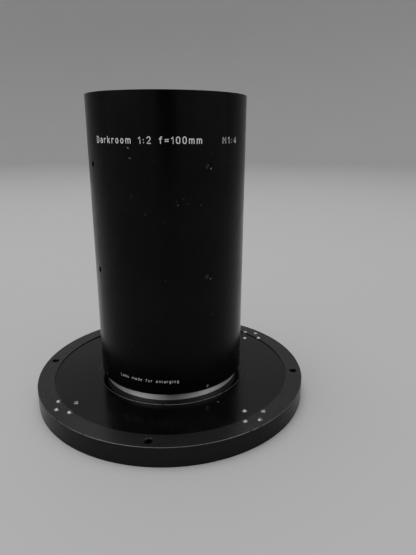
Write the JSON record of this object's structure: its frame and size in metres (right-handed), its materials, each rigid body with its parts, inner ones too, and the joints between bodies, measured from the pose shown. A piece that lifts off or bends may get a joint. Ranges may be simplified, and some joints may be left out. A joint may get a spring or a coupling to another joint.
{
  "type": "enlarger lens",
  "caption": "Long cylindrical enlarger lens on a round mounting flange, with a barrel that slides and turns on a bare neck.",
  "frame": {"origin": "centre of the flange's underside, on the optical axis", "axes": "+Z along the optical axis from the flange to the front glass; the engraved side faces -Y"},
  "size_m": [0.1704, 0.1704, 0.1804],
  "materials": {
    "black_anodised_aluminium": "satin black anodised, finely turned",
    "matt_black_aluminium": "matt black anodised",
    "bare_metal": "bare turned metal",
    "steel": "ground steel",
    "nickel_steel": "nickel plated",
    "blackened_steel": "blackened",
    "coated_glass": "polished, anti-reflection coated",
    "engraving_paint": "white paint run into the engraving"
  },
  "bodies": {
    "flange": {"flange_plate": "black_anodised_aluminium", "mounting_collar": "black_anodised_aluminium", "locating_pads": "steel", "pad_screws": "nickel_steel"},
    "spigot": {"spigot_ring": "bare_metal"},
    "barrel": {"outer_barrel": "black_anodised_aluminium", "upper_set_screws": "blackened_steel", "middle_set_screws": "blackened_steel", "lower_set_screws": "nickel_steel", "front_retaining_ring": "black_anodised_aluminium", "front_cell": "matt_black_aluminium", "front_lens_ring": "black_anodised_aluminium", "front_lens": "coated_glass", "front_spacer": "matt_black_aluminium", "second_lens": "coated_glass", "doublet_spacer": "matt_black_aluminium", "front_doublet_crown": "coated_glass", "front_doublet_flint": "coated_glass", "cell_shim": "steel", "aperture_stop": "matt_black_aluminium", "rear_cell": "matt_black_aluminium", "rear_doublet_flint": "coated_glass", "rear_doublet_crown": "coated_glass", "rear_doublet_spacer": "matt_black_aluminium", "seventh_lens": "coated_glass", "rear_spacer": "matt_black_aluminium", "rear_lens": "coated_glass", "rear_lens_ring": "black_anodised_aluminium"}
  },
  "joints": [
    {"name": "spigot_turn", "type": "hinge", "parent": "flange", "child": "spigot", "pos_m": [0, 0, 0.004], "axis": [0, 0, 1], "continuous": true},
    {"name": "barrel_slide", "type": "slide", "parent": "spigot", "child": "barrel", "axis": [0, 0, 1], "range_m": [-0.0045, 0.01]}
  ]
}
